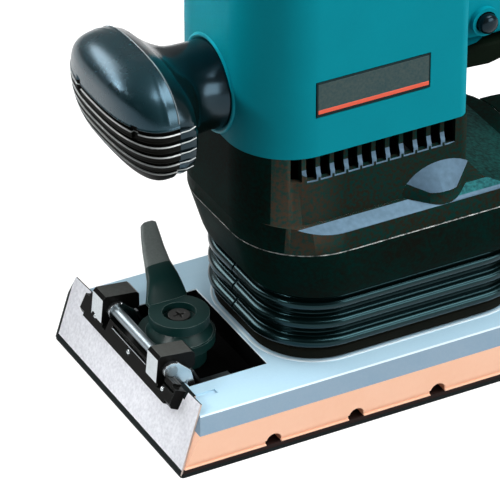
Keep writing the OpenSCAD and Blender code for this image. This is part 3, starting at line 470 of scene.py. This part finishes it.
# Heights and how far out the skin stands there, in mm: foot, then three folds, then the inside
fold_line = [(low.z, -0.6), (low.z + 0.4, 0.0), (low.z + 1, 0.3), (27.3, 0.3), (28.0, -0.2),
             (28.6, -1.2)]
for crest in (32.3, 41.3, 50.3):
    fold_line += [(crest + rise, out) for rise, out in (
        (-3.0, -0.6), (-2.6, 0.9), (-1.9, 2.0), (-1.0, 2.6), (0, 2.75), (0.8, 2.65),
        (1.35, 2.35), (1.75, 1.9), (2.1, 1.2), (2.3, 0.5), (2.6, 0.55), (2.8, 0.8),
        (3.1, 0.65), (3.25, 0.2), (3.5, -1.1), (4.4, -1.3))]
fold_line = [p for p in fold_line if p[0] < high.z - 0.3]
fold_line += [(high.z, 0.4), (high.z, -3.4), (low.z, -3.4)]


def boot_point(row, column):
    """Skin of the boot, with its columns drawn together at the rounded corners."""
    z, out = fold_line[round(row * len(fold_line)) % len(fold_line)]
    point = boot_round(out, column + 0.127 * math.sin(2 * math.pi * column))
    on_mould_line = point.x < 0 and abs(point.y) < 0.45 and out > 0.1 and z > 29
    return (point.x + on_mould_line, point.y, z)


bm = bmesh.new()
skinned(bm, len(fold_line), 260, boot_point, ends_open=False)
for face in bm.faces:
    face.material_index = int(face.calc_center_median().z < FOOT_TOP * MM)
stand_in(bm, "boot", [rubber, dusty_rubber], name="boot_bellows", sharp_deg=50)
coat(rubber, "post_front_left", "post_front_right", "post_rear_left", "post_rear_right")

# ---------------------------------------------------------------- front grip
# Two nylon shells bolted through the neck. The front one has a smooth palm
# panel, polished by hands, and five finger grooves whose lips carry a painted highlight.
AXIS, HALF, TALL, DEPTH, SEAM_X = 141, 38.2, 25.5, 19.8, -103.5
PALM_RISE, SEAM_TALL, FRONT_SHARE = 13.9, 22.8, 0.9
GROOVES = [146.9 - 4.7 * i for i in range(5)]
NOTCHES = ((10.5, 147.3), (-25.2, 145.6))


def rounded(u, power):
    """Rounded rise and fall, 1 in the middle and 0 at the ends of -1 to 1."""
    return max(1 - abs(u) ** power, 0) ** (1 / power)


def groove_depth(z):
    """How deep the grooves and their raised lips dip the shell at a height."""
    off = [abs(z - groove) for groove in GROOVES]
    return sum(1.5 * min(max((0.95 - o) / 0.35, 0), 1) - 0.28 * math.exp(-((o - 1.3) / 0.3) ** 2)
               for o in off)


def grip_point(row, column):
    """Front shell: a level bow at each height, closed by a flat back at the seam."""
    z = AXIS + (row * 1.97 - 0.985) * TALL
    turn = math.pi * min(column / FRONT_SHARE, 1)
    above = z - AXIS - PALM_RISE
    if above > 0:
        depth = DEPTH * rounded(above / (TALL - PALM_RISE), 2.4)
    else:
        depth = DEPTH * rounded(above / (TALL + PALM_RISE), 2.17)
    half = HALF * rounded((z - AXIS) / TALL, 2.68) * (0.955 + 0.075 * math.sin(turn))
    dip = groove_depth(z)
    if z > GROOVES[0] + 3:
        edge_dist = min(turn, math.pi - turn) / math.pi
        dip -= 0.35 * math.exp(-((edge_dist - 0.045) / 0.018) ** 2)
    for y, middle in NOTCHES:
        if abs(z - middle) < 3.4 and turn < math.pi and abs(half * math.cos(turn) - y) < 1.4:
            dip = max(dip, 1.3)
    lean = max(AXIS - z - SEAM_TALL, 0) * 1.4
    if column > FRONT_SHARE:
        return (SEAM_X - lean, -(half - dip) * (1 - (column - FRONT_SHARE) * 20), z)
    return (SEAM_X - lean - max(depth - dip - lean, 0.2) * max(math.sin(turn), 0) ** 0.77,
            (half - dip) * abs(math.cos(turn)) ** 0.77 * math.copysign(1, math.cos(turn)), z)


grip_gloss = finish("grip_nylon_polished", "#0a262a", "#071d21", 0.27, grain_mm=1.5,
                    depth_mm=0.003, Specular_IOR_Level=0.95, Specular_Tint=BLUISH)
grip_ribs = finish("grip_nylon_ribs_matt", "#090d0b", "#0e0c09", 0.5, grain_mm=0.7,
                   Specular_IOR_Level=0.05)
# Pale lip finish: painted highlight on the groove lips.
painted_groove_highlight = finish("grip_nylon_groove_painted_highlight", "#d5d9d8", "#8d9597", 0.3, patch_mm=8,
                  Specular_IOR_Level=0.5)
bm = bmesh.new()
skinned(bm, 300, 160, grip_point)
for face in bm.faces:
    z = face.calc_center_median().z / MM
    # Faces just under each groove take the painted highlight.
    on_lip_highlight = any(-1.2 < z - groove < -0.85 for groove in GROOVES)
    if face.normal.x > 0.9 or face.calc_area() > 3 * MM ** 2:
        continue
    face.material_index = 1 if on_lip_highlight else 2 if z < GROOVES[0] + 1.2 else 0
stand_in(bm, "grip_front", [grip_gloss, painted_groove_highlight, grip_ribs], name="grip_front_shell",
         sharp_deg=40)

neck_gloss = finish("grip_nylon_neck_glossy", "#05100f", "#040c0b", 0.2, grain_mm=1.5,
                    Specular_IOR_Level=0.6, Specular_Tint=BLUISH)
# Pale bead along the shells' seam: painted highlight.
painted_seam_highlight = finish("grip_nylon_seam_painted_highlight", "#8f9a9e", "#59646a", 0.35, patch_mm=8,
                   Specular_IOR_Level=0.4)
SEAM_HALF, SEAM_RISE, SEAM_POWER = 36.65, 25.55, 2 / 2.68
seam_line = []
for i in range(141):
    turn = math.radians(14 + 152 * i / 140)
    wide = SEAM_HALF * abs(math.cos(turn)) ** SEAM_POWER * math.copysign(1, math.cos(turn))
    seam_line.append(Vector((SEAM_X - 0.25, wide, AXIS + SEAM_RISE * math.sin(turn) ** SEAM_POWER)))
bm = bmesh.new()
bead(bm, seam_line, 0.24)
piece_from(bm, "grip_seam_line", "grip_front", [painted_seam_highlight])

# The rear shell swells towards the seam, so that it meets the front shell's edge
SWELL, SWELL_X = 0.11, -93
bm = welded("grip_rear")
for vert in bm.verts:
    rise = vert.co.z / MM - AXIS
    if rise > 0 and vert.co.x < SWELL_X * MM:
        vert.co.z += SWELL * rise * min((SWELL_X - vert.co.x / MM) / 8, 1) * MM
side_tree = BVHTree.FromBMesh(bm)
ease_edges(bm, 0.3, corner_deg=35)
stand_in(bm, "grip_rear", [neck_gloss])
# Beads along the rear shell's groove lips carry the painted highlight.
bm = bmesh.new()
for side in (-1, 1):
    for groove in GROOVES:
        starts = [Vector((-103.3 + 0.8 * i, side * 60, groove - 0.98)) for i in range(10)]
        lip_line = [side_tree.ray_cast(p * MM, Vector((0, -side, 0)))[0] / MM for p in starts]
        bead(bm, lip_line, 0.27, axis=(0, 0, 1))
piece_from(bm, "grip_rear_lip_highlights", "grip_rear", [painted_groove_highlight])

# ---------------------------------------------------------------- D-handle
# The two teal halves meet on the centre plane and close over the switch. A
# softer black liner runs round the inside, teal in its upper part. The trigger
# turns on a steel pin, and a side button locks it.
LINER_TOP = 135.7
for name in ("handle_left", "handle_right"):
    eased(name, teal_nylon, 0.35)
soft_black = finish("black_soft_grip", "#0a150c", "#070d08", 0.6, grain_mm=0.8,
                    Specular_IOR_Level=0.02)
bm = welded("handle_liner")
cut(bm, (0, 0, LINER_TOP), (0, 0, 1))
for face in bm.faces:
    face.material_index = int(face.calc_center_median().z > LINER_TOP * MM)
ease_edges(bm, 0.3)
stand_in(bm, "handle_liner", [soft_black, teal_nylon])
eased("trigger", smooth_black, 0.5)
eased("lock_button", smooth_black, 0.3)
eased("cord_bush", rubber, 0.2)
coat(smooth_black, "switch_block", "upper_bracket", "fan")

# ---------------------------------------------------------------- motor
# Stacked electrical steel, varnished copper coils, a copper commutator with
# carbon brushes in brass boxes, and die-cast bearing seats.
laminations = finish("electrical_steel_stack", "#5c6166", "#4c5156", 0.4, Metallic=1.0)
coat(laminations, "stator_core", "armature_core")
copper = finish("varnished_copper_wire", "#a5572d", "#8a431f", 0.35, Metallic=1.0)
coat(copper, "field_coils", "armature_windings", "commutator")
brass = finish("brass_pressed", "#c8a24a", "#b08c3c", 0.3, Metallic=1.0)
coat(brass, "brush_holder_left", "brush_holder_right")
carbon = finish("carbon_brush", "#2a2a2a", "#202020", 0.6)
coat(carbon, "brush_left", "brush_right")
alloy = finish("die_cast_alloy", "#9aa0a4", "#8a9094", 0.45, Metallic=1.0)
coat(alloy, "bearing_box", "counterweight")

# ---------------------------------------------------------------- base plate
# Die-cast and lacquered pale blue-grey. Its chamfered edges are painted darker as
# painted shade, and its top edges and a low rim round the boot's seat carry a
# painted highlight. The clamp pockets are painted almost black as painted shade.
plate_paint = finish("cast_plate_blue_grey_lacquer", "#b2d3e4", "#a6c9dc", 0.32, grain_mm=0.35,
                     patch_mm=40, Specular_IOR_Level=0.5)
# Darker chamfer finish: painted shade.
painted_slope_shade = finish("cast_plate_chamfer_painted_shade", "#6f899c", "#7d91a1", 0.4, grain_mm=0.35,
                     Specular_IOR_Level=0.2)
# Pale edge finish: painted highlight on the top edges and on the rim round the boot's seat.
painted_plate_highlight = finish("cast_plate_painted_highlight", "#dcebf2", "#d2e4ee", 0.3, Specular_IOR_Level=0.6)
# Near-black finish of the pockets and the brackets' floors: painted shade in the recesses.
painted_pocket_shade = finish("clamp_pocket_painted_shade", "#030404", "#020303", 0.7,
                      Specular_IOR_Level=0.05)
PLATE_TOP = 23.3


def plate_finish(face):
    """Which finish a face has: 0 top, 1 slope in painted shade, 2 edge in painted highlight, 3
    pocket in painted shade, or as it was eased.
    """
    middle, normal = face.calc_center_median() / MM, face.normal
    long, wide = abs(middle.x), abs(middle.y)
    # Faces down in the pocket take the painted shade.
    if 62.7 < long < 98.1 and wide < 31.1 and middle.z < PLATE_TOP - 0.05:
        return 3
    # Small faces along the long top edges take the painted highlight.
    if abs(normal.z) < 0.98 and middle.z > PLATE_TOP - 0.4 and wide > 51 \
            and face.calc_area() < 300 * MM ** 2:
        return 2
    # The chamfers take the painted shade.
    if 0.3 < normal.z < 0.95 and (wide > 50 or long > 100):
        return 1
    return face.material_index


bm = welded("base_plate")
ease_edges(bm, 0.5, 15, 1, within=lambda p: abs(p.z - PLATE_TOP) < 0.1 and abs(p.y) > 50)
# The pocket edges take the painted highlight.
ease_edges(bm, 0.35, 60, 1, slot=2, within=lambda p: abs(p.z - PLATE_TOP) < 0.1
           and abs(p.y) < 31.2 and 62.5 < abs(p.x) < 98.2)
for face in bm.faces:
    face.material_index = plate_finish(face)
stand_in(bm, "base_plate", [plate_paint, painted_slope_shade, painted_plate_highlight, painted_pocket_shade],
         name="base_plate_casting", smooth=False)

# Distance outside the boot's seat and height of the rim's section, in mm
RIM = ((0.8, 23.2), (0.9, 23.5), (1.1, 23.56), (1.5, 23.56), (1.8, 23.5), (1.9, 23.2))


def rim_point(row, column):
    """Skin of the rim round the boot's seat."""
    out, z = RIM[round(row * len(RIM)) % len(RIM)]
    point = boot_round(out, column)
    return (point.x, point.y, z)


bm = bmesh.new()
skinned(bm, len(RIM), 200, rim_point, ends_open=False)
# The rim carries the painted highlight.
piece_from(bm, "boot_seat_rim", "base_plate", [painted_plate_highlight])

# ---------------------------------------------------------------- pad and facing
# Peach closed-cell foam is bonded under the plate. Its side shows the cut
# pores faintly, and the thin facing under it is painted dark as painted shade under the foam's
# edge.
foam = finish("peach_closed_cell_foam", "#fdccb0", "#fac5a6", 0.8, grain_mm=0.7, depth_mm=0.06,
              Specular_IOR_Level=0.15)
eased("pad", foam, 0.25)
# Dark facing colour: painted shade under the foam.
facing = finish("pad_facing_painted_shade", "#241512", "#160d0c", 0.7, Specular_IOR_Level=0.15)
eased("pad_facing", facing, 0.15)

# ---------------------------------------------------------------- abrasive sheet
# Paper with pale stearate-coated grit on its outer side, folded up the plate's
# end slopes. One cut edge of each flap shows pale paper. All other faces off the
# flaps and the underside are painted black as painted shadow, seen along the
# sheet's foot, the lower fold and the border at the flap's other edge.
SOLE_END, SHEET_THICK, SLOPE_IN, SLOPE_UP = 114.5, 1.6, 10.5, 21.7


def end_slope(end):
    """Foot in mm, way up and way out of the plate's slope at the front (-1) or rear (1)."""
    return (Vector((end * SOLE_END, 0, SHEET_THICK)),
            Vector((-end * SLOPE_IN, 0, SLOPE_UP)).normalized(),
            Vector((end * SLOPE_UP, 0, SLOPE_IN)).normalized())


grit = finish("stearate_coated_grit", "#eceef4", "#d3d5dc", 0.85, grain_mm=0.45, depth_mm=0.05,
              patch_mm=6, fleck=0.8, spread=0.35, Specular_IOR_Level=0.1)
paper_edge = finish("abrasive_paper_cut_edge", "#c9b8b0", "#b5a49c", 0.8)
# Black finish of the sheet's edges and folds: painted shadow.
painted_sheet_shadow = finish("abrasive_sheet_painted_shadow", "#10191a", "#0a1112", 0.6, Specular_IOR_Level=0.1)
bm = welded("abrasive_sheet")
for end in (-1, 1):
    foot, rise, outward = end_slope(end)
    far = Vector((0, -end, 0))
    for start, way in ((foot + rise * 1.3, far), (foot + far * 55.1, rise * 20 + far * 4.26)):
        flap = [f for f in bm.faces if f.normal.dot(outward) > 0.9]
        parts = flap + [e for f in flap for e in f.edges] + [v for f in flap for v in f.verts]
        cut(bm, start, way.cross(outward), list(set(parts)))
for face in bm.faces:
    middle, normal = face.calc_center_median() / MM, face.normal
    end = math.copysign(1, middle.x)
    on_flap = normal.dot(end_slope(end)[2]) > 0.9 and face.calc_area() > 900 * MM ** 2
    # Faces off the flaps and the underside take the painted shadow.
    face.material_index = int(not (normal.z < -0.9 or on_flap))
    if normal.y * end > 0.9 and middle.z > SHEET_THICK + 0.1:
        face.material_index = 2
stand_in(bm, "abrasive_sheet", [grit, painted_sheet_shadow, paper_edge], smooth=False)

# ---------------------------------------------------------------- clamps
# Zinc-plated bracket, ground rod, riveted jaw in black enamel that is worn to the
# zinc in front, with a painted highlight on its edges and a painted grey sheen on
# its top, and a nylon cam lever whose blade is painted lighter as painted light and
# whose hub edge carries a painted highlight. The lever turns on a blackened steel
# post with a cross recess. The brackets' floors in the pockets are painted almost
# black as painted shade.
zinc = finish("bright_zinc_plate", "#ccd3d6", "#b4bcc1", 0.26, depth_mm=0.002, Metallic=1.0)
satin_rod = finish("ground_steel_rod", "#a3aeb2", "#87939a", 0.4, depth_mm=0.002, Metallic=1.0)
enamel = finish("black_enamel", "#0f0f0e", "#0a0a09", 0.3, Specular_IOR_Level=0.06)
# Pale edge finish: painted highlight on the jaw's edges.
painted_enamel_edge_highlight = finish("black_enamel_painted_edge_highlight", "#6f7776", "#3c4342", 0.3, patch_mm=8,
                     Specular_IOR_Level=0.5)
# Grey top finish: painted sheen on the jaw's upward faces.
painted_enamel_top_sheen = finish("black_enamel_top_painted_sheen", "#474c4a", "#3c3a38", 0.4, grain_mm=0.5,
                     fleck=0.6, Specular_IOR_Level=0.1)
lever_black = finish("lever_nylon", "#0d2e2c", "#0b2624", 0.36, Specular_IOR_Level=0.25)
# Grey blade finish: painted light on the blade that faces up.
painted_blade_light = finish("lever_nylon_blade_painted_light", "#69716f", "#5b6361", 0.4, grain_mm=0.35, fleck=0.8,
                    Specular_IOR_Level=0.2)
# Pale hub edge finish: painted highlight.
painted_hub_highlight = finish("lever_hub_edge_painted_highlight", "#7d8f8d", "#5f706e", 0.35, Specular_IOR_Level=0.3)
spring_steel = finish("spring_steel", "#9ea6aa", "#858d91", 0.35, Metallic=1.0)
dark_steel = finish("post_steel_blackened", "#232422", "#141514", 0.4, Specular_IOR_Level=0.6)
HUB_X, HUB_RADIUS, BLADE_FROM, BRACKET_FOOT = 86.5, 16, 23.7, 15
JAW_FRONT, JAW_ARM_FOOT, JAW_ARM_TOP = 109.9, 26, 35
RIVET_UP, SLOT_UP, JAW_FACE = 23.3, 25.3, 6.05
for end, side in (("front", 1), ("rear", -1)):
    bm = welded(end + "_bracket")
    # The bracket's floor, down in the pocket, takes the painted shade.
    for face in bm.faces:
        face.material_index = int(face.calc_center_median().z < BRACKET_FOOT * MM)
    ease_edges(bm, 0.25)
    stand_in(bm, end + "_bracket", [zinc, painted_pocket_shade])
    eased(end + "_rod", satin_rod, 0.25)
    eased(end + "_post", dark_steel, 0.2)
    coat(spring_steel, end + "_spring")

    bm = welded(end + "_lever")
    # The blade beyond the crease takes the painted light.
    cut(bm, (0, side * BLADE_FROM, 0), (0, 1, 0))
    for face in bm.faces:
        face.material_index = int(side * face.calc_center_median().y > BLADE_FROM * MM)
    # The hub's edges take the painted highlight.
    ease_edges(bm, 0.4, corner_deg=40, slot=2,
               within=lambda p: math.hypot(p.x + side * HUB_X, p.y) < HUB_RADIUS)
    stand_in(bm, end + "_lever", [lever_black, painted_blade_light, painted_hub_highlight])

    bm = welded(end + "_jaw")
    for face in bm.faces:
        middle = face.calc_center_median() / MM
        if (-side * face.normal.x > 0.95 and abs(middle.x) > JAW_FRONT
                and middle.z > JAW_ARM_FOOT):
            face.material_index = 2
        # Upward faces on top take the painted sheen.
        elif face.normal.z > 0.95 and middle.z > JAW_ARM_TOP:
            face.material_index = 3
    # The jaw's edges take the painted highlight.
    ease_edges(bm, 0.3, slot=1)
    stand_in(bm, end + "_jaw", [enamel, painted_enamel_edge_highlight, zinc, painted_enamel_top_sheen])

    foot, rise, outward = end_slope(-side)
    bm = bmesh.new()
    for y in (-30, 0, 30):
        seat = foot + Vector((0, y, 0)) + rise * RIVET_UP + outward * (JAW_FACE - 0.65)
        bmesh.ops.create_uvsphere(bm, u_segments=20, v_segments=10, radius=1.25 * MM,
                                  matrix=Matrix.Translation(seat * MM))
    piece_from(bm, end + "_jaw_rivets", end + "_jaw", [zinc])
    bm = bmesh.new()
    bead(bm, [foot + Vector((0, side * y, 0)) + rise * SLOT_UP + outward * JAW_FACE
              for y in (-14, 1, 16)], 0.2, axis=outward)
    piece_from(bm, end + "_jaw_slot_edge", end + "_jaw", [zinc])
